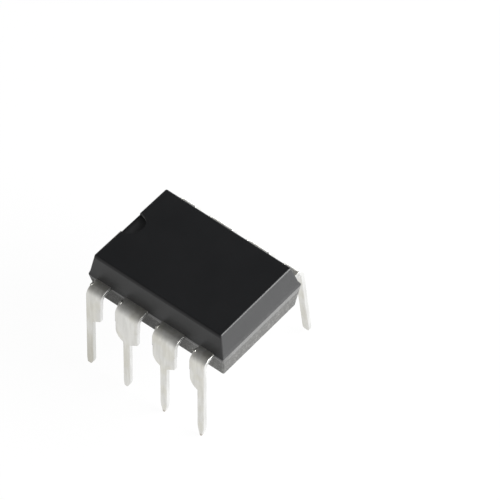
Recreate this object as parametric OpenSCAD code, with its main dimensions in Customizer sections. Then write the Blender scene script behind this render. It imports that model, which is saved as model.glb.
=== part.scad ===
// Dual in-line chip package with eight leads, its lead frame, die and bond wires.
// Units are millimetres. X runs along the body with the notch at the -X end, Y runs
// across it, and Z is up, with zero at the lead tips and the origin at their centre.

/* [Lead grid] */
// Distance between the axes of neighbouring leads in one row
lead_pitch = 2.54; // [2.4:0.01:2.8]

/* [Moulded body] */
// From the axis of an end lead to the end of the body at the parting plane
end_margin = 0.81; // [0.6:0.01:1.4]
// Width of the body across the two rows, at the parting plane
body_width = 6.40; // [6.0:0.05:7.4]
// Height of the upper half above the parting plane
upper_height = 1.46; // [1.2:0.02:2.0]
// Height of the lower half below the parting plane
lower_height = 1.70; // [1.2:0.02:2.2]
// Lean of the upper half's walls, so that it leaves the mould
upper_draft = 11.5; // [6:0.5:14]
// Lean of the lower half's walls
lower_draft = 9.5; // [6:0.5:14]
// Step in from the parting plane to the wall of the upper half
parting_ledge = 0.11; // [0.04:0.01:0.2]
// Height over which the ledge slopes in
ledge_height = 0.24; // [0.05:0.01:0.35]
// Bevel along the edges of the top and the underside
edge_break = 0.06; // [0.02:0.01:0.12]
// Depth of the bevel down each standing corner
corner_break = 0.03; // [0.02:0.01:0.2]

/* [Marks in the body] */
// Radius of the half-round notch at the end with the first lead
notch_radius = 0.78; // [0.5:0.02:1.1]
// Depth of the notch
notch_depth = 0.25; // [0.1:0.01:0.4]
// Radius of the ejector pin's mark in the underside
ejector_radius = 1.48; // [0.8:0.02:1.8]
// Depth of the ejector pin's mark
ejector_depth = 0.06; // [0.02:0.01:0.15]

/* [Leads outside the body] */
// Thickness of the lead frame's sheet
lead_thickness = 0.26; // [0.2:0.01:0.32]
// Height of the leads' upper face above the parting plane
lead_rise = 0.05; // [0.02:0.01:0.1]
// Width of the shoulder of a lead
shoulder_width = 1.49; // [1.3:0.01:1.7]
// Width of the pin below the shoulder
pin_width = 0.45; // [0.38:0.01:0.56]
// From the side of the body to the outer face of the bend
shoulder_reach = 0.88; // [0.7:0.01:1.2]
// Radius inside the bend
bend_radius = 0.27; // [0.15:0.01:0.3]
// Outward lean of the leads
splay_angle = 4; // [0:0.5:8]
// From the underside of the body to the foot of the shoulders
stand_off = 0.59; // [0.4:0.01:0.9]
// From the foot of the shoulders to the lead tips
pin_length = 3.57; // [2.9:0.01:3.9]
// Radius of the shoulder's corner towards the notch
shoulder_round = 0.72; // [0.55:0.01:0.9]
// Rise of the shoulder's other foot from the pin out to its edge
shoulder_rise = 0.36; // [0.1:0.01:0.5]
// Length over which the pin narrows at its tip
tip_length = 0.62; // [0.3:0.01:0.9]
// Width of the pin's end
tip_width = 0.26; // [0.16:0.01:0.34]
// Length over which the pin thins at its tip, from the inner face
tip_bevel = 0.24; // [0.1:0.01:0.4]
// Thickness of the pin's end
tip_thickness = 0.14; // [0.08:0.01:0.18]

/* [Lead frame inside the body] */
// Length of the die paddle along the body
paddle_length = 3.4; // [2.8:0.05:3.8]
// Width of the die paddle across the body
paddle_width = 2.6; // [2.2:0.05:3.0]
// Gap between the paddle and the fingers around it
paddle_gap = 0.30; // [0.2:0.01:0.4]
// Width of a finger
finger_width = 0.80; // [0.6:0.01:0.95]
// From the centre plane to the arm of an end finger
arm_offset = 0.25; // [0.15:0.01:0.4]
// How far the shoulder's full width runs into the body
root_depth = 0.62; // [0.5:0.01:0.75]
// Radius of the hole in each root that locks the lead in the resin
lock_radius = 0.18; // [0.1:0.01:0.22]

/* [Die and wires] */
// Length of the silicon die along the body
die_length = 1.9; // [1.4:0.05:2.3]
// Width of the silicon die
die_width = 1.5; // [1.2:0.05:1.9]
// Thickness of the silicon die
die_thickness = 0.28; // [0.2:0.01:0.4]
// Thickness of the adhesive under the die
attach_thickness = 0.04; // [0.03:0.01:0.06]
// How far the adhesive shows around the die
attach_margin = 0.10; // [0.05:0.01:0.15]
// From the edge of the die to the middle of a bond
bond_inset = 0.16; // [0.12:0.01:0.25]
// Distance between two bonds along an edge of the die
bond_spacing = 0.7; // [0.4:0.02:0.9]
// Radius of a bond at either end of a wire
bond_radius = 0.06; // [0.05:0.005:0.08]
// Height of a bond
bond_height = 0.05; // [0.04:0.005:0.07]
// Radius of a bond wire
wire_radius = 0.02; // [0.015:0.001:0.025]
// Rise of a wire's loop above the straight line between its bonds
loop_rise = 0.30; // [0.2:0.01:0.45]

/* [Hidden] */
$fn = 48;

leads_per_row = 4;
lead_count = 2 * leads_per_row;
// Cuts run this far past the face that they open
cut_through = 1;
// Shapes that make up one piece run this far into each other
joint_lap = 0.05;

body_length = (leads_per_row - 1) * lead_pitch + 2 * end_margin;
underside_z = pin_length + stand_off;
parting_z = underside_z + lower_height;
top_z = parting_z + upper_height;
upper_run = tan(upper_draft);
lower_run = tan(lower_draft);

frame_top_z = parting_z + lead_rise;
bend_outer = bend_radius + lead_thickness;
bend_y = body_width / 2 + shoulder_reach - bend_outer;
bend_z = frame_top_z - bend_outer;
// The inner edge of a leaning pin's end is its lowest point, and lies at zero
tail_length = (bend_z + (bend_outer - tip_thickness) * sin(splay_angle)) / cos(splay_angle);
shoulder_length = tail_length - pin_length / cos(splay_angle);
shoulder_overhang = (shoulder_width - pin_width) / 2;
root_y = body_width / 2 - root_depth;

die_z = frame_top_z + attach_thickness;
die_top_z = die_z + die_thickness;

gold = [0.85, 0.68, 0.30];
tin = [0.80, 0.80, 0.78];
resin = [0.15, 0.15, 0.16];
silicon = [0.32, 0.35, 0.42];
adhesive = [0.72, 0.70, 0.64];

// Leads 1 to 4 run along the -Y side from the notch, and 5 to 8 come back along +Y
function in_near_row(i) = i <= leads_per_row;
function row_place(i) = in_near_row(i) ? i - 1 : lead_count - i;
function lead_x(i) = (row_place(i) - (leads_per_row - 1) / 2) * lead_pitch;
function row_side(i) = in_near_row(i) ? -1 : 1;
function at_notch_end(i) = row_place(i) == 0;
function at_plain_end(i) = row_place(i) == leads_per_row - 1;
function at_an_end(i) = at_notch_end(i) || at_plain_end(i);
function end_sign(i) = lead_x(i) < 0 ? -1 : 1;
// An end lead has its shoulder only on the side that faces its neighbour
function left_edge(i) = at_notch_end(i) ? -pin_width / 2 : -shoulder_width / 2;
function right_edge(i) = at_plain_end(i) ? pin_width / 2 : shoulder_width / 2;

// Moulded body

// A block's section on both sides of the middle. The walls lean in by run for each
// millimetre up, the top edges have a bevel, and the lap is straight below zero.
module block_section(half, height, run, edge, lap) {
    top = half - height * run;
    bevelled = [
        [half - (height - edge) * run, height - edge],
        [top - edge, height],
        [edge - top, height],
        [(height - edge) * run - half, height - edge]
    ];
    plain = [[top, height], [-top, height]];
    foot = [[-half, 0], [-half, -lap], [half, -lap], [half, 0]];
    flat_foot = [[-half, 0], [half, 0]];
    polygon(concat(lap > 0 ? foot : flat_foot, edge > 0 ? bevelled : plain));
}

// A block with leaning walls and broken corners
module leaning_block(length, width, height, run, edge, lap) {
    corner = norm([length, length]) / 4 + norm([width, width]) / 4 - corner_break;
    intersection() {
        rotate([90, 0, 0])
            linear_extrude(length + width, center = true)
                block_section(length / 2, height, run, edge, lap);
        rotate([90, 0, 90])
            linear_extrude(length + width, center = true)
                block_section(width / 2, height, run, edge, lap);
        rotate([90, 0, 45])
            linear_extrude(length + width, center = true)
                block_section(corner, height, run * sqrt(2), 0, lap);
        rotate([90, 0, -45])
            linear_extrude(length + width, center = true)
                block_section(corner, height, run * sqrt(2), 0, lap);
    }
}

// The lower half, the sloping ledge on it, and the upper half that reaches down into both
module moulding() {
    ledge_lap = ledge_height + joint_lap;
    translate([0, 0, parting_z]) {
        mirror([0, 0, 1])
            leaning_block(body_length, body_width, lower_height, lower_run, edge_break, 0);
        leaning_block(body_length, body_width, ledge_height, parting_ledge / ledge_height, 0, 0);
        translate([0, 0, ledge_height])
            leaning_block(body_length - 2 * parting_ledge, body_width - 2 * parting_ledge,
                          upper_height - ledge_height, upper_run, edge_break, ledge_lap);
    }
}

module notch() {
    wall_height = upper_height - ledge_height;
    top_edge_x = body_length / 2 - parting_ledge - wall_height * upper_run;
    translate([-top_edge_x, 0, top_z - notch_depth])
        cylinder(r = notch_radius, h = notch_depth + cut_through);
}

module ejector_mark() {
    translate([0, 0, underside_z - cut_through])
        cylinder(r = ejector_radius, h = ejector_depth + cut_through);
}

module package_body() {
    color(resin)
        difference() {
            moulding();
            notch();
            ejector_mark();
            for (i = [1 : lead_count]) {
                lead(i);
                bond_wire(i);
            }
            die_attach();
            silicon_die();
        }
}

// Leads, drawn for the +Y row and mirrored for the -Y row.
// Each is a strip of sheet, bent in profile and then trimmed to its flat outlines.

// A point in the profile, measured outwards and down the tail from the bend's centre
function on_tail(out, down) = [
    bend_y + out * cos(splay_angle) + down * sin(splay_angle),
    bend_z + out * sin(splay_angle) - down * cos(splay_angle)
];

// Where the flat and the tail would meet at a given radius if the bend were sharp
function sharp_corner(radius) = [
    bend_y + radius * (1 - sin(splay_angle)) / cos(splay_angle),
    bend_z + radius
];

// The strip with a sharp bend and a tip that thins from its inner face
module sharp_strip() {
    far_y = -body_width / 2;
    polygon([
        [far_y, frame_top_z],
        sharp_corner(bend_outer),
        on_tail(bend_outer, tail_length),
        on_tail(bend_outer - tip_thickness, tail_length),
        on_tail(bend_radius, tail_length - tip_bevel),
        sharp_corner(bend_radius),
        [far_y, frame_top_z - lead_thickness]
    ]);
}

// The corner of the bend between its two tangent lines, out to a given radius
module bend_block(radius) {
    polygon([
        [bend_y, bend_z],
        [bend_y, bend_z + radius],
        sharp_corner(radius),
        on_tail(radius, 0)
    ]);
}

module bend_circle(radius) {
    translate([bend_y, bend_z])
        circle(r = radius);
}

module strip_profile() {
    difference() {
        union() {
            sharp_strip();
            difference() {
                bend_block((bend_radius + bend_outer) / 2);
                bend_circle(bend_radius);
            }
        }
        difference() {
            bend_block(bend_outer + cut_through);
            bend_circle(bend_outer);
        }
    }
}

// The root of a lead seen from above, from inside the body to past the bend
module root_outline(i) {
    width = right_edge(i) - left_edge(i);
    translate([left_edge(i), root_y])
        square([width, bend_y + 2 * bend_outer - root_y]);
}

module lock_hole(i) {
    translate([(left_edge(i) + right_edge(i)) / 2, (root_y + body_width / 2) / 2])
        circle(r = lock_radius);
}

// A finger between the ends runs straight in towards the paddle
module middle_finger_outline() {
    tip_y = paddle_width / 2 + paddle_gap;
    translate([-finger_width / 2, tip_y])
        square([finger_width, root_y + joint_lap - tip_y]);
}

// A finger at an end runs in beside the paddle and turns to face it.
// The paddle is stamped in one piece with the finger of lead 4.
module end_finger_outline(i) {
    carries_paddle = i == leads_per_row;
    tip_x = paddle_length / 2 + (carries_paddle ? -joint_lap : paddle_gap);
    outer_x = abs(lead_x(i)) + pin_width / 2;
    translate([-lead_x(i), 0])
        mirror([end_sign(i) < 0 ? 1 : 0, 0]) {
            translate([outer_x - finger_width, arm_offset])
                square([finger_width, root_y + joint_lap - arm_offset]);
            translate([tip_x, arm_offset])
                square([outer_x - tip_x, finger_width]);
            if (carries_paddle)
                square([paddle_length, paddle_width], center = true);
        }
}

module flat_outline(i) {
    difference() {
        root_outline(i);
        lock_hole(i);
    }
    if (at_an_end(i))
        end_finger_outline(i);
    else
        middle_finger_outline();
}

// The slope and the round at the foot of a shoulder, as shapes to cut away
module foot_slope(i) {
    foot = -shoulder_length;
    edge = right_edge(i);
    polygon([
        [edge - 2 * shoulder_overhang, foot - shoulder_rise],
        [edge + shoulder_overhang, foot - shoulder_rise],
        [edge + shoulder_overhang, foot + 2 * shoulder_rise]
    ]);
}

module foot_round(i) {
    drop = sqrt(pow(shoulder_round, 2) - pow(shoulder_round - shoulder_overhang, 2));
    difference() {
        translate([left_edge(i) - cut_through, -shoulder_length - cut_through])
            square([shoulder_overhang + cut_through, drop + cut_through]);
        translate([left_edge(i) + shoulder_round, drop - shoulder_length])
            circle(r = shoulder_round);
    }
}

module pin_outline() {
    narrowing = tail_length - tip_length;
    polygon([
        [-pin_width / 2, 0],
        [pin_width / 2, 0],
        [pin_width / 2, -narrowing],
        [tip_width / 2, -tail_length],
        [-tip_width / 2, -tail_length],
        [-pin_width / 2, -narrowing]
    ]);
}

// The tail seen square to its face, with zero where the bend ends and the tip downwards
module tail_outline(i) {
    difference() {
        translate([left_edge(i), -shoulder_length])
            square([right_edge(i) - left_edge(i), shoulder_length + bend_outer]);
        if (!at_plain_end(i))
            foot_slope(i);
        if (!at_notch_end(i))
            foot_round(i);
    }
    pin_outline();
}

module lead(i) {
    color(tin)
        mirror([0, in_near_row(i) ? 1 : 0, 0])
            translate([lead_x(i), 0, 0])
                intersection() {
                    rotate([90, 0, 90])
                        linear_extrude(2 * body_length, center = true)
                            strip_profile();
                    union() {
                        translate([0, 0, bend_z])
                            linear_extrude(2 * bend_outer)
                                flat_outline(i);
                        translate([0, bend_y, bend_z])
                            rotate([splay_angle + 90, 0, 0])
                                linear_extrude(4 * bend_outer, center = true)
                                    tail_outline(i);
                    }
                }
}

// Die, its adhesive and its wires

module die_attach() {
    color(adhesive)
        translate([-die_length / 2 - attach_margin, -die_width / 2 - attach_margin, frame_top_z])
            cube([die_length + 2 * attach_margin, die_width + 2 * attach_margin, attach_thickness]);
}

module silicon_die() {
    color(silicon)
        translate([-die_length / 2, -die_width / 2, die_z])
            cube([die_length, die_width, die_thickness]);
}

// Where the wire of lead i leaves the die
function die_bond(i) = at_an_end(i)
    ? [end_sign(i) * (die_length / 2 - bond_inset), row_side(i) * bond_spacing / 2]
    : [end_sign(i) * bond_spacing / 2, row_side(i) * (die_width / 2 - bond_inset)];

// Where it meets the finger
function finger_bond(i) = at_an_end(i)
    ? [end_sign(i) * (paddle_length / 2 + paddle_gap + bond_inset),
       row_side(i) * (arm_offset + finger_width / 2)]
    : [lead_x(i), row_side(i) * (paddle_width / 2 + paddle_gap + bond_inset)];

module bond() {
    cylinder(r = bond_radius, h = bond_height);
}

// The loop is one arc in the upright plane through both bonds
module wire_loop(start, end, drop) {
    level = norm(end - start);
    chord = norm([level, drop]);
    arc_radius = (pow(chord / 2, 2) + pow(loop_rise, 2)) / (2 * loop_rise);
    half_turn = asin(chord / 2 / arc_radius);
    translate([start[0], start[1], 0])
        rotate([0, 0, atan2(end[1] - start[1], end[0] - start[0])])
            rotate([0, atan2(drop, level), 0])
                translate([chord / 2, 0, loop_rise - arc_radius])
                    rotate([90, 0, 0])
                        rotate([0, 0, 90 - half_turn])
                            rotate_extrude(angle = 2 * half_turn)
                                translate([arc_radius, 0])
                                    circle(r = wire_radius, $fn = 24);
}

module bond_wire(i) {
    start = die_bond(i);
    end = finger_bond(i);
    color(gold) {
        translate([start[0], start[1], die_top_z])
            bond();
        translate([end[0], end[1], frame_top_z])
            bond();
        translate([0, 0, die_top_z + bond_height / 2])
            wire_loop(start, end, die_top_z - frame_top_z);
    }
}

package_body();
for (i = [1 : lead_count])
    lead(i);
die_attach();
silicon_die();
for (i = [1 : lead_count])
    bond_wire(i);
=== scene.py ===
"""Looks for the eight-lead dual in-line chip: the moulded body, its leads, and the studio."""
import math

import bmesh
import bpy
from mathutils import Matrix, Vector


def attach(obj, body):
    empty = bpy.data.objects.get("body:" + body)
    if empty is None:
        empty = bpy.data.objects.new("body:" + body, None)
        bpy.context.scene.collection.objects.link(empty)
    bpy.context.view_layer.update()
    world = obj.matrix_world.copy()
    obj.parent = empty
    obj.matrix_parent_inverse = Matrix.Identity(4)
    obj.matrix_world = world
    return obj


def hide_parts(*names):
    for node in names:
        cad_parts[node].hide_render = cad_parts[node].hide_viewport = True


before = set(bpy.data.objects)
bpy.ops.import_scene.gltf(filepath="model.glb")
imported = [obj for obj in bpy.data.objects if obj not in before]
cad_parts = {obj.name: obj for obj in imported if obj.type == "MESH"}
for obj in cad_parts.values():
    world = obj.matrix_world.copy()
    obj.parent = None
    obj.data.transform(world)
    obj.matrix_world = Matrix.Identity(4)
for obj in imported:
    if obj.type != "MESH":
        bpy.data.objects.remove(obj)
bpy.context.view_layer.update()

MM = 0.001

# Sizes of the part in millimetres, as its source has them
LEAD_PITCH = 2.54
LEADS_PER_ROW = 4
END_MARGIN = 0.81
BODY_WIDTH = 6.40
UPPER_HEIGHT = 1.46
LOWER_HEIGHT = 1.70
UPPER_RUN = math.tan(math.radians(11.5))
LOWER_RUN = math.tan(math.radians(9.5))
PARTING_LEDGE = 0.11
LEDGE_HEIGHT = 0.24
NOTCH_RADIUS = 0.78
NOTCH_DEPTH = 0.25
EJECTOR_RADIUS = 1.48
EJECTOR_DEPTH = 0.06
LEAD_THICKNESS = 0.26
LEAD_RISE = 0.05
SHOULDER_WIDTH = 1.49
PIN_WIDTH = 0.45
SHOULDER_REACH = 0.88
BEND_RADIUS = 0.27
SPLAY = math.radians(4)
STAND_OFF = 0.59
PIN_LENGTH = 3.57
SHOULDER_ROUND = 0.72
SHOULDER_RISE = 0.36
TIP_BEVEL = 0.24
TIP_THICKNESS = 0.14
ROOT_DEPTH = 0.62
PADDLE_LENGTH = 3.4
PADDLE_WIDTH = 2.6
PADDLE_GAP = 0.30
FINGER_WIDTH = 0.80
ARM_OFFSET = 0.25

BODY_LENGTH = (LEADS_PER_ROW - 1) * LEAD_PITCH + 2 * END_MARGIN
UNDERSIDE_Z = PIN_LENGTH + STAND_OFF
PARTING_Z = UNDERSIDE_Z + LOWER_HEIGHT
TOP_Z = PARTING_Z + UPPER_HEIGHT
LEDGE_Z = PARTING_Z + LEDGE_HEIGHT
NOTCH_FLOOR_Z = TOP_Z - NOTCH_DEPTH
TOP_INSET = PARTING_LEDGE + (UPPER_HEIGHT - LEDGE_HEIGHT) * UPPER_RUN
NOTCH_X = TOP_INSET - BODY_LENGTH / 2
FRAME_TOP_Z = PARTING_Z + LEAD_RISE
BEND_OUTER = BEND_RADIUS + LEAD_THICKNESS
BEND_Y = BODY_WIDTH / 2 + SHOULDER_REACH - BEND_OUTER
BEND_Z = FRAME_TOP_Z - BEND_OUTER
TAIL_LENGTH = (BEND_Z + (BEND_OUTER - TIP_THICKNESS) * math.sin(SPLAY)) / math.cos(SPLAY)
SHOULDER_LENGTH = TAIL_LENGTH - PIN_LENGTH / math.cos(SPLAY)
SHOULDER_OVERHANG = (SHOULDER_WIDTH - PIN_WIDTH) / 2
FOOT_START = SHOULDER_LENGTH - SHOULDER_RISE
ROUND_DROP = math.sqrt(SHOULDER_ROUND ** 2 - (SHOULDER_ROUND - SHOULDER_OVERHANG) ** 2)
ROUND_START = SHOULDER_LENGTH - ROUND_DROP
ROOT_Y = BODY_WIDTH / 2 - ROOT_DEPTH


# Materials


class Socket:
    """A node's output. Arithmetic on it adds Math nodes."""

    def __init__(self, finish, output):
        self.finish = finish
        self.output = output

    def math(self, operation, first, second):
        return self.finish.node("ShaderNodeMath", {"operation": operation}, {0: first, 1: second})

    def __add__(self, other):
        return self.math("ADD", self, other)

    __radd__ = __add__

    def __sub__(self, other):
        return self.math("SUBTRACT", self, other)

    def __rsub__(self, other):
        return self.math("SUBTRACT", other, self)

    def __mul__(self, other):
        return self.math("MULTIPLY", self, other)

    __rmul__ = __mul__

    def __truediv__(self, other):
        return self.math("DIVIDE", self, other)

    def absolute(self):
        return self.math("ABSOLUTE", self, 0.0)


class Finish:
    """A node tree, of a material or of the world, and the one way that nodes are added to it."""

    def __init__(self, holder):
        holder.use_nodes = True
        self.holder = holder
        self.tree = holder.node_tree
        self.tree.nodes.clear()

    def node(self, kind, settings=None, values=None, output=0):
        node = self.tree.nodes.new(kind)
        for name, setting in (settings or {}).items():
            setattr(node, name, setting)
        for name, value in (values or {}).items():
            if isinstance(value, Socket):
                self.tree.links.new(value.output, node.inputs[name])
            else:
                node.inputs[name].default_value = value
        return Socket(self, node.outputs[output])

    def noise(self, place, size, detail=2.0, roughness=0.5):
        """Noise with features of about size, in millimetres."""
        return self.node(
            "ShaderNodeTexNoise", None,
            {"Vector": place, "Scale": 1 / (size * MM), "Detail": detail, "Roughness": roughness})

    def ease(self, value, start, end, low=0.0, high=1.0):
        """value from start to end, eased to run from low to high."""
        return self.node(
            "ShaderNodeMapRange", {"interpolation_type": "SMOOTHSTEP"},
            {"Value": value, "From Min": start, "From Max": end, "To Min": low, "To Max": high})

    def mix(self, share, first, second):
        """The first colour, with a share of the second. The node's colours have no name of
        their own, only numbers."""
        return self.node(
            "ShaderNodeMix", {"data_type": "RGBA"}, {0: share, 6: first, 7: second}, output=2)

    def bump(self, height, depth, normal=None):
        """Bump of a height from 0 to 1 that stands for depth, in millimetres."""
        values = {"Height": height, "Distance": depth * MM, "Strength": 1.0}
        if normal:
            values["Normal"] = normal
        return self.node("ShaderNodeBump", None, values)

    def place(self):
        """A point's place in the part's frame, in metres."""
        return self.node("ShaderNodeTexCoord", output="Object")

    def normal(self):
        return self.node("ShaderNodeNewGeometry", output="Normal")

    def coordinate(self, vector, axis):
        return self.node("ShaderNodeSeparateXYZ", None, {0: vector}, output=axis)

    def millimetres(self, place):
        """The x, y and z of a place."""
        return [self.coordinate(place, axis) / MM for axis in range(3)]

    def attribute(self, name):
        """A number stored at the mesh's points."""
        return self.node("ShaderNodeAttribute", {"attribute_name": name}, output="Fac")

    def surface(self, shader, kind="ShaderNodeOutputMaterial"):
        end = self.tree.nodes.new(kind)
        self.tree.links.new(shader.output, end.inputs["Surface"])

    def principled(self, values):
        """Ends the tree in the principled shader, and returns the material."""
        self.surface(self.node("ShaderNodeBsdfPrincipled", None, values))
        return self.holder


def mould_resin():
    """Black epoxy moulding compound. As painted shade, the flat top and underside are darkest,
    faces grow as dark as they turn up, and the rim that rolls over along the top's long edges is
    as dark. The upper walls have a fine grain, and the lower ones a paler, coarse and eroded
    grain."""
    f = Finish(bpy.data.materials.new("mould_resin"))
    place = f.place()
    x, y, z = f.millimetres(place)
    facing = f.normal()
    up = f.coordinate(facing, 2)
    on_end = f.ease(f.coordinate(facing, 0).absolute(), 0.5, 0.8)
    on_side = 1 - on_end
    from_top = z - TOP_Z
    # Painted shade: the rim along the top's long edges, faces as they turn up, and faces that look
    # straight down take the dark flat colour
    rim = on_side * f.ease(from_top, -0.22, -0.05)
    facing_shade = f.ease(up, 0.25, 0.75) + f.ease(up, -0.99, -0.93, 1.0, 0.0)
    facing_shade = facing_shade + rim * (1 - facing_shade)

    # Below the parting plane a band is rubbed smooth where the flash was cleaned off, and painted
    # paler as a painted highlight. It is deeper on the ends, and fades at their corners by the
    # near row. On the sides the band starts lower, and the upper wall's dark colour painted down
    # to it is painted shade. The sides' lower walls get paler along the body, away from the notch.
    band_top = PARTING_Z - on_side * f.ease(x, -3.0, 0.0, 0.08, 0.17)
    band_depth = 0.12 + 0.36 * on_end
    below = f.ease(z - band_top, -0.04, 0.0, 1.0, 0.0)
    rubbed_and_highlight = below * f.ease(z - band_top + band_depth, -0.08, 0.08)
    corner_fade = on_end * f.ease(y, -3.1, -2.2, 0.65, 0.0)
    rubbed_and_highlight = rubbed_and_highlight * (1 - corner_fade)
    paler_away_from_notch = on_side * f.ease(x, -2.0, 5.0)

    cloud = f.noise(place, 1.6, 3.0)
    fine = f.noise(place, 0.045, 2.0, 0.6)
    coarse = f.noise(place, 0.13, 3.0, 0.65)
    speck = f.ease(f.noise(place, 0.10), 0.50, 0.66)
    tone = 0.12 * cloud + speck * (0.08 + 0.42 * below) + 0.25 * fine

    upper_wall = f.mix(tone, (0.017, 0.0174, 0.0180, 1), (0.040, 0.040, 0.040, 1))
    eroded = f.mix(tone, (0.038, 0.0382, 0.037, 1), (0.150, 0.149, 0.143, 1))
    pale_eroded = f.mix(tone, (0.105, 0.106, 0.103, 1), (0.30, 0.30, 0.29, 1))
    band_highlight = f.mix(tone, (0.070, 0.070, 0.069, 1), (0.12, 0.12, 0.117, 1))
    pale_band_highlight = f.mix(tone, (0.13, 0.13, 0.128, 1), (0.32, 0.32, 0.31, 1))
    lower_wall = f.mix(
        rubbed_and_highlight, f.mix(paler_away_from_notch, eroded, pale_eroded), f.mix(paler_away_from_notch, band_highlight, pale_band_highlight))
    flat = f.mix(tone, (0.0018, 0.0021, 0.0028, 1), (0.006, 0.0064, 0.0072, 1))
    colour = f.mix(facing_shade, f.mix(below, upper_wall, lower_wall), flat)

    # Painted light: the notch is painted paler than the top, most on its walls, against the shade
    # in the recess
    from_notch = x - NOTCH_X
    in_notch = f.ease(from_top, -0.35, -0.28) * f.ease(from_top, -0.06, -0.02, 1.0, 0.0)
    in_notch = in_notch * f.ease(from_notch, 0.0, 0.16) * f.ease(from_notch, 0.86, 0.96, 1.0, 0.0)
    in_notch = in_notch * f.ease(y.absolute(), 0.80, 0.90, 1.0, 0.0)
    notch_fill_light = f.mix(facing_shade, (0.11, 0.11, 0.11, 1), (0.012, 0.0125, 0.0135, 1))

    grain = f.bump(1 - rim, 0.05, f.bump(fine, 0.003))
    return f.principled({
        "Base Color": f.mix(in_notch, colour, notch_fill_light),
        "Roughness": 0.34 + 0.10 * cloud + 0.28 * below - 0.32 * rubbed_and_highlight,
        "IOR": 1.42,
        "Normal": f.bump(coarse * below * (1 - 0.7 * rubbed_and_highlight), 0.022, grain),
    })


def tinned_lead():
    """Matt tin over the whole stamping, with faint streaks from rolling and warmer clouds."""
    f = Finish(bpy.data.materials.new("tinned_lead"))
    place = f.place()
    x, y, z = f.millimetres(place)
    lip, sheared = f.attribute("lip"), f.attribute("sheared")
    along = f.node("ShaderNodeMapping", None, {"Vector": place, "Scale": (1.0, 1.0, 0.12)})
    streak = f.noise(along, 0.06)
    blotch = f.noise(along, 0.20)
    warm = f.ease(f.noise(place, 0.9), 0.42, 0.66)
    tone = 0.65 * f.ease(blotch, 0.32, 0.68) + 0.35 * streak
    plate = f.mix(tone, (0.62, 0.615, 0.585, 1), (0.75, 0.745, 0.715, 1))
    warm_plate = f.mix(tone, (0.58, 0.565, 0.50, 1), (0.71, 0.70, 0.64, 1))
    colour = f.mix(warm * 0.7, plate, warm_plate)

    # The pins at the notch are darker and browner, and most at their feet
    by_notch = f.ease(x, -3.45, -3.35, 1.0, 0.0)
    darker_by_notch = by_notch * f.ease(z, 1.2, 3.2, 1.0, 0.15)
    colour = f.mix(darker_by_notch * 0.5, colour, (0.38, 0.36, 0.29, 1))

    # Painted shade: the rolled lips are painted darker below the bend, as a dark reflection along
    # their edges, and the sheared sides are pale
    dark_lip_reflection = lip * f.ease(z, BEND_Z, BEND_Z + 0.3, 0.30, 0.0)
    colour = f.mix(dark_lip_reflection, colour, (0.40, 0.40, 0.38, 1))
    shear = f.mix(tone, (0.70, 0.70, 0.68, 1), (0.84, 0.84, 0.83, 1))
    shear = f.mix(by_notch * 0.35, shear, (0.38, 0.38, 0.34, 1))
    colour = f.mix(sheared, colour, shear)

    # Painted shade: close to the body, the edges that face away from the notch are painted dark,
    # as the body's shade on them
    far_row = f.ease(y, 0.0, 1.0)
    outwards = y.absolute() - BODY_WIDTH / 2
    root = f.ease(sheared, 0.0, 0.4) * f.ease(outwards, 0.30, 0.70, 1.0, 0.0)
    root = root * f.ease(f.coordinate(f.normal(), 0), 0.05, 0.35)
    side = f.ease(sheared, 0.7, 1.0)
    root = root * (0.55 + far_row * (0.35 - 0.7 * side))
    colour = f.mix(root, colour, (0.06, 0.06, 0.057, 1))

    # Painted highlight: the bends of the far row are painted near white
    bend = f.ease(outwards, 0.46, 0.60) * f.ease(z, BEND_Z - 0.9, BEND_Z + 0.35)
    colour = f.mix(far_row * (1 - 0.3 * sheared) * bend, colour, (0.90, 0.90, 0.885, 1))

    # The cut at the end of each pin is unplated
    cut = f.ease(z, 0.08, 0.24, 1.0, 0.0)
    colour = f.mix(cut * 0.7, colour, (0.30, 0.24, 0.18, 1))

    crystal = f.bump(f.noise(place, 0.028), 0.0022)
    return f.principled({
        "Base Color": colour,
        "Metallic": 1.0,
        "Roughness": 0.26 + 0.10 * blotch + 0.06 * streak + 0.2 * cut + 0.2 * root,
        "Normal": f.bump(streak, 0.0016, crystal),
    })


def silver_adhesive():
    f = Finish(bpy.data.materials.new("adhesive"))
    flake = f.noise(f.place(), 0.02)
    return f.principled({
        "Base Color": f.mix(flake, (0.42, 0.40, 0.36, 1), (0.70, 0.68, 0.63, 1)),
        "Roughness": 0.45 + 0.2 * flake,
        "Normal": f.bump(flake, 0.003),
    })


def die_silicon():
    """Polished silicon, patterned with the blocks of a circuit."""
    f = Finish(bpy.data.materials.new("silicon"))
    place = f.place()
    block = f.node("ShaderNodeTexVoronoi", {"distance": "CHEBYCHEV"},
                   {"Vector": place, "Scale": 1 / (0.22 * MM)})
    line = f.noise(place, 0.012, 1.0)
    return f.principled({
        "Base Color": f.mix(
            0.6 * block + 0.3 * line, (0.06, 0.08, 0.13, 1), (0.22, 0.20, 0.24, 1)),
        "Roughness": 0.12 + 0.15 * line,
        "Normal": f.bump(block, 0.001),
    })


def drawn_gold():
    f = Finish(bpy.data.materials.new("gold_wire"))
    draw_mark = f.noise(f.place(), 0.01)
    return f.principled({
        "Base Color": f.mix(draw_mark, (0.80, 0.56, 0.20, 1), (0.95, 0.73, 0.34, 1)),
        "Metallic": 1.0,
        "Roughness": 0.22 + 0.1 * draw_mark,
        "Normal": f.bump(draw_mark, 0.0008),
    })


# Meshes


def add_piece(name, mesh, material, slot, *nodes):
    """Links a finished mesh to the scene as the piece that stands for the CAD nodes."""
    piece = bpy.data.objects.new(name, mesh)
    bpy.context.scene.collection.objects.link(piece)
    mesh.materials.append(material)
    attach(piece, "root")
    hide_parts(*nodes)
    return piece


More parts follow.
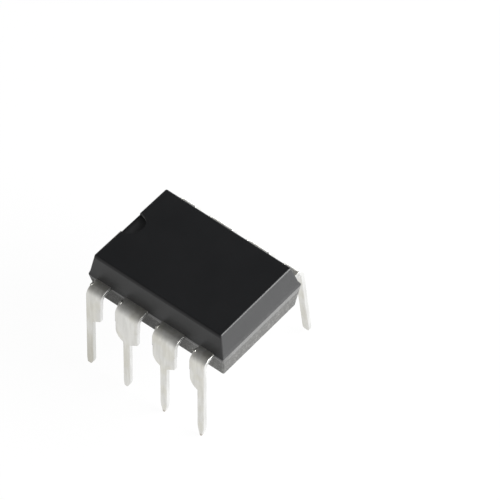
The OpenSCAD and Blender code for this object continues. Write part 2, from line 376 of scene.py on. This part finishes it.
def finished_mesh(name, bm, sharp_angle):
    """The mesh of bm, smooth except across edges sharper than the angle in degrees, with each
    normal taken from the larger faces around it so that flat faces stay flat."""
    bmesh.ops.recalc_face_normals(bm, faces=bm.faces)
    rough = bpy.data.meshes.new("rough")
    bm.to_mesh(rough)
    bm.free()
    rough.shade_smooth()
    rough.set_sharp_from_angle(angle=math.radians(sharp_angle))
    holder = bpy.data.objects.new("holder", rough)
    bpy.context.scene.collection.objects.link(holder)
    weighing = holder.modifiers.new("weighing", "WEIGHTED_NORMAL")
    weighing.keep_sharp = True
    bpy.context.view_layer.update()
    graph = bpy.context.evaluated_depsgraph_get()
    mesh = bpy.data.meshes.new_from_object(holder.evaluated_get(graph), depsgraph=graph)
    mesh.name = name
    bpy.data.objects.remove(holder)
    bpy.data.meshes.remove(rough)
    return mesh


def loft(bm, rings, tones=None):
    """Quads from ring to ring, with the first and the last closed. tones has, for the name of
    each attribute, one number for each point of a ring."""
    layers = {name: bm.verts.layers.float.new(name) for name in tones or {}}
    rows = [[bm.verts.new(point * MM) for point in ring] for ring in rings]
    for name, layer in layers.items():
        for row in rows:
            for vert, tone in zip(row, tones[name]):
                vert[layer] = tone
    count = len(rows[0])
    for near, far in zip(rows, rows[1:]):
        for i in range(count):
            j = (i + 1) % count
            bm.faces.new((near[i], near[j], far[j], far[i]))
    bm.faces.new(list(reversed(rows[0])))
    bm.faces.new(rows[-1])


def level_ring(inset, z, swell=0.0):
    """The moulding's outline at height z, drawn in from the parting plane's by the inset. The
    corner by the first lead stands further out by the swell."""
    x, y = BODY_LENGTH / 2 - inset, BODY_WIDTH / 2 - inset
    corners = ((x, y), (-x, y), (-x - swell, -y), (x, -y))
    return [Vector((*corner, z)) for corner in corners]


def cylinder_cutter(radius, x, low, high, segments):
    bm = bmesh.new()
    turn = [2 * math.pi * i / segments for i in range(segments)]
    loft(bm, [[Vector((x + radius * math.cos(t), radius * math.sin(t), z)) for t in turn]
              for z in (low, high)])
    bmesh.ops.recalc_face_normals(bm, faces=bm.faces)
    mesh = bpy.data.meshes.new("cutter")
    bm.to_mesh(mesh)
    bm.free()
    return bpy.data.objects.new("cutter", mesh)


def cut_away(mesh, cutters):
    """mesh less the cutters, which are deleted."""
    blank = bpy.data.objects.new("blank", mesh)
    collection = bpy.context.scene.collection
    collection.objects.link(blank)
    for cutter in cutters:
        collection.objects.link(cutter)
        boolean = blank.modifiers.new("cut", "BOOLEAN")
        boolean.operation = "DIFFERENCE"
        boolean.solver = "EXACT"
        boolean.object = cutter
    bpy.context.view_layer.update()
    evaluated = blank.evaluated_get(bpy.context.evaluated_depsgraph_get())
    bm = bmesh.new()
    bm.from_mesh(evaluated.to_mesh())
    evaluated.to_mesh_clear()
    for spare in [blank] + cutters:
        old = spare.data
        bpy.data.objects.remove(spare)
        bpy.data.meshes.remove(old)
    return bm


def sharp_edges(bm, degrees, test):
    """Edges that turn by more than the angle and whose middle, in millimetres, passes the test."""
    found = []
    for edge in bm.edges:
        if len(edge.link_faces) == 2 and edge.calc_face_angle() > math.radians(degrees):
            middle = (edge.verts[0].co + edge.verts[1].co) / 2 / MM
            if test(middle):
                found.append(edge)
    return found


def soften(bm, width, segments, test, degrees=20):
    """Rounds the edges that turn by more than the angle and pass the test, over the width."""
    bmesh.ops.bevel(bm, geom=sharp_edges(bm, degrees, test), offset=width * MM,
                    offset_type="OFFSET", segments=segments, profile=0.5, affect="EDGES",
                    clamp_overlap=True)


# How far the body's edges are rounded
BODY_ROUND = 0.09
UNDERSIDE_ROUND = 0.05
LEDGE_ROUND = 0.02
NOTCH_ROUND = 0.03
EJECTOR_ROUND = 0.015
# How much further out the corner by the first lead stands, at the ledge and at the top
LEDGE_SWELL = 0.05
TOP_SWELL = 0.11
# How near an edge's middle has to be to a form, or to an upright corner, to be part of it
NEAR = 0.1
CORNER_REACH = 0.6


def body_mesh():
    """The moulding: two drafted halves, the sloping ledge, the notch and the ejector mark."""

    def at_corner(p):
        return (abs(p.x) > BODY_LENGTH / 2 - CORNER_REACH
                and abs(p.y) > BODY_WIDTH / 2 - CORNER_REACH
                and UNDERSIDE_Z + NEAR < p.z < TOP_Z - NEAR)

    def at_top(p):
        return p.z > TOP_Z - NEAR

    def at_underside(p):
        return p.z < UNDERSIDE_Z + NEAR

    def at_ledge(p):
        return PARTING_Z - 0.01 < p.z < LEDGE_Z + 0.01

    def at_notch(p):
        return p.z > NOTCH_FLOOR_Z - NEAR and math.hypot(p.x - NOTCH_X, p.y) < NOTCH_RADIUS + NEAR

    def at_ejector(p):
        return at_underside(p) and abs(p.xy.length - EJECTOR_RADIUS) < 0.03

    bm = bmesh.new()
    loft(bm, [
        level_ring(LOWER_HEIGHT * LOWER_RUN, UNDERSIDE_Z),
        level_ring(0, PARTING_Z),
        level_ring(PARTING_LEDGE, LEDGE_Z, LEDGE_SWELL),
        level_ring(TOP_INSET, TOP_Z, TOP_SWELL),
    ])
    bmesh.ops.recalc_face_normals(bm, faces=bm.faces)
    soften(bm, BODY_ROUND, 6, lambda p: at_corner(p) or at_top(p))
    soften(bm, UNDERSIDE_ROUND, 4, at_underside)
    soften(bm, LEDGE_ROUND, 3, at_ledge)
    blank = bpy.data.meshes.new("body_blank")
    bm.to_mesh(blank)
    bm.free()
    bm = cut_away(blank, [
        cylinder_cutter(NOTCH_RADIUS, NOTCH_X, NOTCH_FLOOR_Z, TOP_Z + 1, segments=96),
        cylinder_cutter(EJECTOR_RADIUS, 0, UNDERSIDE_Z - 1, UNDERSIDE_Z + EJECTOR_DEPTH,
                        segments=128),
    ])
    soften(bm, NOTCH_ROUND, 3, at_notch, degrees=30)
    soften(bm, EJECTOR_ROUND, 2, at_ejector)
    return finished_mesh("package_body_mesh", bm, sharp_angle=32)


# The radius of a lead's rolled lips, and the most of its half thickness that one takes
ROLLED_LIP = 0.045
LIP_SHARE = 0.9
# Half the size of the burr that the stamping pushed up at the start of the bend
BURR_SIZE = (0.075, 0.16, 0.052)
# Its middle, from the lead's notch-side top edge there: along the body, outwards and up
BURR_OFFSET = (0.03, 0.02, -0.03)
# Any distance down the tail that stands for the flat stretch before the bend
BEFORE_TAIL = -1.0
# How many steps a section takes over its face and round a lip, and a lead round its bend
FACE_STEPS = 6
LIP_STEPS = 4
BEND_STEPS = 14
# The bar that joined the leads in the strip was sheared off here and left a small step
SHEAR_STEP = 0.035
SHEAR_END = 0.58
SHEAR_RUN = 0.012
# Rings before the sheared step, and how close two rings may come before they are one
FIRST_STOPS = {0.12, 0.3}
LEAST_GAP = 0.003
# How far the rings at the body's wall stand from it, inside and outside
WALL_GAP = 0.1


def shares(count):
    """The ends of equal steps from 0 to 1."""
    return [i / count for i in range(1, count + 1)]


def section(left, right, thickness, lip):
    """A lead's section as (across, outwards) points: a flat strip with rounded lips."""
    radius = min(lip, thickness / 2 * LIP_SHARE)
    left, right, rise = left + radius, right - radius, thickness / 2 - radius
    points = [(left + (right - left) * share, rise + radius) for share in shares(FACE_STEPS)[:-1]]
    lips = ((right, rise, 90), (right, -rise, 0), (left, -rise, -90), (left, rise, 180))
    for x, y, start in lips:
        for i in range(LIP_STEPS + 1):
            angle = math.radians(start - 90 * i / LIP_STEPS)
            points.append((x + radius * math.cos(angle), y + radius * math.sin(angle)))
    return points


def section_tones():
    """How far each point of a section lies on a rolled lip, and on a sheared side."""
    face = FACE_STEPS - 1
    turn = [i / LIP_STEPS for i in range(LIP_STEPS + 1)]
    arch = [math.sin(math.pi * t) for t in turn]
    flat = [0.0] * len(turn)
    down = turn[::-1]
    return {
        "lip": [0.0] * face + flat + flat + flat + arch,
        "sheared": [0.0] * face + turn + down + turn + down,
    }


def lead_place(number):
    """Which row a lead is in (-1 near, 1 far), and its place along it from the notch."""
    near = number <= LEADS_PER_ROW
    return (-1, number - 1) if near else (1, 2 * LEADS_PER_ROW - number)


def lead_x(place):
    """The middle of the pin at a place along a row."""
    return (place - (LEADS_PER_ROW - 1) / 2) * LEAD_PITCH


# The tips are sheared singly: how wide each is, how long it tapers, how much it falls short of
# the longest, and how far it lies off the pin's middle line
TIPS = {1: (0.24, 0.42, 0.10, -0.06), 2: (0.20, 0.48, 0.12, -0.07), 3: (0.10, 0.80, 0.0, 0.0),
        4: (0.09, 0.85, 0.0, 0.0), 5: (0.08, 0.45, 0.12, 0.03), 6: (0.16, 0.60, 0.03, 0.0),
        7: (0.26, 0.45, 0.0, 0.0), 8: (0.18, 0.65, 0.06, 0.0)}
# More than 1 keeps the start of the taper slight
TAPER_POWER = 1.7
# The end of a tip is rounded over this length, at rings these shares of the way down it
TIP_END = 0.05
TIP_END_STOPS = (0.35, 0.65, 0.85, 0.96, 1)
# What the tip's rounding takes from the square of its size
TIP_ROUNDING = 0.92


def tail_end(number):
    """How far down its tail a lead ends."""
    return TAIL_LENGTH - TIPS[number][2]


def lead_edges(number, down):
    """The left and the right edge of a lead at a distance down its tail."""
    _, place = lead_place(number)
    first, last = place == 0, place == LEADS_PER_ROW - 1
    left = -PIN_WIDTH / 2 if first else -SHOULDER_WIDTH / 2
    right = PIN_WIDTH / 2 if last else SHOULDER_WIDTH / 2
    if not first:
        left -= 0 if down > SHEAR_END else SHEAR_STEP
        past = min(down - ROUND_START, ROUND_DROP)
        if past > 0:
            left += SHOULDER_ROUND - math.sqrt(SHOULDER_ROUND ** 2 - past ** 2)
    if not last:
        right += 0 if down > SHEAR_END else SHEAR_STEP
        past = min(down - FOOT_START, SHOULDER_RISE)
        if past > 0:
            right -= past / SHOULDER_RISE * SHOULDER_OVERHANG
    tip_width, tip_length, _, tip_offset = TIPS[number]
    taper = max(0.0, (down - (tail_end(number) - tip_length)) / tip_length) ** TAPER_POWER
    narrowing = (PIN_WIDTH - tip_width) / 2
    return left + (narrowing + tip_offset) * taper, right - (narrowing - tip_offset) * taper


def lead_stations(number):
    """Distances down the tail where a lead gets a ring: closest together where it curves."""
    end = tail_end(number)
    tip_start = end - TIPS[number][1]
    stops = FIRST_STOPS | {SHEAR_END, SHEAR_END + SHEAR_RUN, FOOT_START, ROUND_START,
                           SHOULDER_LENGTH, end - TIP_BEVEL}
    stops |= {ROUND_START + ROUND_DROP * math.sin(math.pi / 2 * share) for share in shares(18)}
    stops |= {SHOULDER_LENGTH + (tip_start - SHOULDER_LENGTH) * share for share in shares(6)}
    stops |= {tip_start + (end - TIP_END - tip_start) * share for share in shares(10)}
    kept = []
    for stop in sorted(stops):
        if not kept or stop - kept[-1] > LEAST_GAP:
            kept.append(stop)
    return kept + [end - TIP_END * (1 - share) for share in TIP_END_STOPS]


def tip_rounding(down, end):
    """How much of its size a section keeps over the rounded end of the tip."""
    past = max(0.0, down - (end - TIP_END)) / TIP_END
    return math.sqrt(max(0.0, 1 - past ** 2 * TIP_ROUNDING))


def lead_rings(number):
    """Sections along a lead: from inside the body, round the bend and down the tail."""
    row, place = lead_place(number)
    middle_radius = BEND_RADIUS + LEAD_THICKNESS / 2
    stations = []
    for y in (ROOT_Y, BODY_WIDTH / 2 - WALL_GAP, BODY_WIDTH / 2 + WALL_GAP, BEND_Y):
        middle = Vector((y, FRAME_TOP_Z - LEAD_THICKNESS / 2))
        stations.append((middle, Vector((0, 1)), BEFORE_TAIL))
    for share in shares(BEND_STEPS):
        angle = math.pi / 2 + (SPLAY - math.pi / 2) * share
        outward = Vector((math.cos(angle), math.sin(angle)))
        stations.append((Vector((BEND_Y, BEND_Z)) + middle_radius * outward, outward, 0.0))
    outward = Vector((math.cos(SPLAY), math.sin(SPLAY)))
    downward = Vector((math.sin(SPLAY), -math.cos(SPLAY)))
    start = Vector((BEND_Y, BEND_Z)) + middle_radius * outward
    end = tail_end(number)
    stations += [(start + down * downward, outward, down) for down in lead_stations(number)]
    rings = []
    for middle, outward, down in stations:
        left, right = lead_edges(number, down)
        thinning = max(0.0, (down - (end - TIP_BEVEL)) / TIP_BEVEL)
        thickness = LEAD_THICKNESS + (TIP_THICKNESS - LEAD_THICKNESS) * thinning
        keep = tip_rounding(down, end)
        centre = (left + right) / 2
        half = (right - left) / 2 * keep
        raised = (LEAD_THICKNESS - thickness) / 2
        ring = []
        for across, out in section(
                centre - half, centre + half, thickness * keep, ROLLED_LIP * keep):
            y, z = middle + (raised + out) * outward
            ring.append(Vector((lead_x(place) + across, row * y, z)))
        rings.append(ring)
    return rings


def add_plate(bm, low, high):
    """A flat bar of the lead frame inside the body, between two corners seen from above."""
    ring = [(low[0], low[1]), (high[0], low[1]), (high[0], high[1]), (low[0], high[1])]
    loft(bm, [[Vector((x, y, z)) for x, y in ring]
              for z in (FRAME_TOP_Z - LEAD_THICKNESS, FRAME_TOP_Z)])


def add_finger(bm, number):
    """What the lead has inside the body: a straight finger, or one that turns to the paddle."""
    row, place = lead_place(number)
    centre_x = lead_x(place)
    lap = 0.05

    def plate(x0, y0, x1, y1):
        (left, right), (near, far) = sorted((x0, x1)), sorted((row * y0, row * y1))
        add_plate(bm, (left, near), (right, far))

    if place in (0, LEADS_PER_ROW - 1):
        side = -1 if place == 0 else 1
        outer = abs(centre_x) + PIN_WIDTH / 2
        carries_paddle = number == LEADS_PER_ROW
        inner = PADDLE_LENGTH / 2 + (-lap if carries_paddle else PADDLE_GAP)
        plate(side * outer, ARM_OFFSET, side * (outer - FINGER_WIDTH), ROOT_Y + lap)
        plate(side * outer, ARM_OFFSET, side * inner, ARM_OFFSET + FINGER_WIDTH)
        if carries_paddle:
            plate(-PADDLE_LENGTH / 2, -PADDLE_WIDTH / 2, PADDLE_LENGTH / 2, PADDLE_WIDTH / 2)
    else:
        plate(centre_x - FINGER_WIDTH / 2, PADDLE_WIDTH / 2 + PADDLE_GAP,
              centre_x + FINGER_WIDTH / 2, ROOT_Y + lap)


def add_burr(bm, number):
    """The small burr on the notch side of a lead, at the start of its bend."""
    row, place = lead_place(number)
    left, _ = lead_edges(number, BEFORE_TAIL)
    x, y, z = BURR_OFFSET
    middle = Vector((lead_x(place) + left + x, row * (BEND_Y + y), FRAME_TOP_Z + z))
    shape = Matrix.LocRotScale(middle * MM, None, Vector(BURR_SIZE) * MM)
    bmesh.ops.create_uvsphere(bm, u_segments=16, v_segments=10, radius=1.0, matrix=shape)


def lead_mesh(number):
    bm = bmesh.new()
    loft(bm, lead_rings(number), section_tones())
    add_burr(bm, number)
    add_finger(bm, number)
    return finished_mesh(f"lead_{number}_mesh", bm, sharp_angle=35)


# Studio

# Half the floor's side, in metres
FLOOR_REACH = 1.5
# How much of the floor's own shade gives way to plain white
FLOOR_WHITE = 0.96


def add_floor():
    """A plain white floor. The camera and reflections see it white, with part of its shadow."""
    mesh = bpy.data.meshes.new("floor_mesh")
    corners = ((-1, -1), (1, -1), (1, 1), (-1, 1))
    mesh.from_pydata([(x * FLOOR_REACH, y * FLOOR_REACH, 0) for x, y in corners],
                     [], [(0, 1, 2, 3)])
    floor = bpy.data.objects.new("floor", mesh)
    bpy.context.scene.collection.objects.link(floor)
    f = Finish(bpy.data.materials.new("white_floor"))
    camera, glossy, through = [
        f.node("ShaderNodeLightPath", output=name)
        for name in ("Is Camera Ray", "Is Glossy Ray", "Is Transmission Ray")]
    seen = camera + glossy + through
    lit = f.node("ShaderNodeBsdfDiffuse", None, {"Color": (0.95, 0.95, 0.95, 1)})
    white = f.node("ShaderNodeEmission", None, {"Color": (1, 1, 1, 1), "Strength": 1.0})
    f.surface(f.node("ShaderNodeMixShader", None, {0: seen * FLOOR_WHITE, 1: lit, 2: white}))
    mesh.materials.append(f.holder)


def light_world():
    """White to the camera. Reflections see a pale horizon, palest behind, under a dim ceiling,
    and a bright low strip beyond the far row."""
    world = bpy.data.worlds.new("studio")
    bpy.context.scene.world = world
    f = Finish(world)
    gaze = f.node("ShaderNodeTexCoord", output="Generated")
    sideways, away, upward = [f.coordinate(gaze, axis) for axis in range(3)]
    behind = f.ease(0.5 * sideways + 0.85 * away, -0.8, 0.5)
    front_wall = f.ease(upward, -0.1, 1.0, 0.90, 0.26)
    back_wall = f.ease(upward, -0.05, 0.66, 1.25, 0.14)
    walls = front_wall + behind * (back_wall - front_wall)
    strip = f.ease(away, 0.62, 0.82) * f.ease(upward, 0.15, 0.42, 1.0, 0.0)
    strip = strip * f.ease(sideways, -0.40, -0.18, 1.0, 0.0)
    camera = f.node("ShaderNodeLightPath", output="Is Camera Ray")
    strength = camera + (1 - camera) * (walls + 3.0 * strip)
    white = f.node("ShaderNodeBackground", None, {"Color": (1, 1, 1, 1), "Strength": strength})
    f.surface(white, "ShaderNodeOutputWorld")


def add_lamp(name, place, target, size, radiance):
    """A square soft lamp, with its place in millimetres, that glows with the given radiance."""
    light = bpy.data.lights.new(name, "AREA")
    light.shape = "SQUARE"
    light.size = size * MM
    light.energy = radiance * math.pi * light.size ** 2
    lamp = bpy.data.objects.new(name, light)
    lamp.location = Vector(place) * MM
    aim = Vector(target) * MM - lamp.location
    lamp.rotation_euler = aim.to_track_quat("-Z", "Y").to_euler()
    lamp.visible_camera = False
    bpy.context.scene.collection.objects.link(lamp)


# The camera's own axes in the part's frame, from the fit to the photograph
CAMERA_RIGHT = Vector((0.7655, 0.6420, -0.0414))
CAMERA_UP = Vector((-0.4865, 0.6197, 0.6158))
CAMERA_BACK = Vector((0.4210, -0.4513, 0.7867))
CAMERA_DISTANCE = 400.0
PIXELS = 500
PIXELS_PER_MM = 19.164
# Where the middle of the parting plane stands in the picture, from the left and from the top
CENTRE_X, CENTRE_Y = 194.43, 278.89
SENSOR = 36.0


def add_camera():
    data = bpy.data.cameras.new("camera")
    data.sensor_width = SENSOR
    data.lens = PIXELS_PER_MM * CAMERA_DISTANCE / PIXELS * SENSOR
    data.clip_start, data.clip_end = 0.01, 10
    camera = bpy.data.objects.new("camera", data)
    aside = (PIXELS / 2 - CENTRE_X) / PIXELS_PER_MM
    above = (CENTRE_Y - PIXELS / 2) / PIXELS_PER_MM
    place = (Vector((0, 0, PARTING_Z)) + CAMERA_DISTANCE * CAMERA_BACK
             + aside * CAMERA_RIGHT + above * CAMERA_UP)
    axes = Matrix((CAMERA_RIGHT, CAMERA_UP, CAMERA_BACK)).transposed()
    camera.matrix_world = Matrix.Translation(place * MM) @ axes.to_4x4()
    bpy.context.scene.collection.objects.link(camera)
    bpy.context.scene.camera = camera


def build():
    numbers = range(1, 2 * LEADS_PER_ROW + 1)
    resin, tin, gold = mould_resin(), tinned_lead(), drawn_gold()
    add_piece("body", body_mesh(), resin, "mould_resin", "package_body")
    for number in numbers:
        add_piece(f"tin_lead_{number}", lead_mesh(number), tin, "tinned_lead", f"lead_{number}")
    inside = {"die_attach": silver_adhesive(), "silicon_die": die_silicon()}
    inside |= {f"bond_wire_{number}": gold for number in numbers}
    for node, material in inside.items():
        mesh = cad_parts[node].data
        mesh.materials.clear()
        mesh.materials.append(material)


def light():
    add_floor()
    light_world()
    add_lamp("key", place=(100, 55, 44), target=(0, 0, 5), size=110, radiance=14.0)


bpy.context.scene.view_settings.view_transform = "Standard"
add_camera()
build()
light()

bpy.context.view_layer.update()
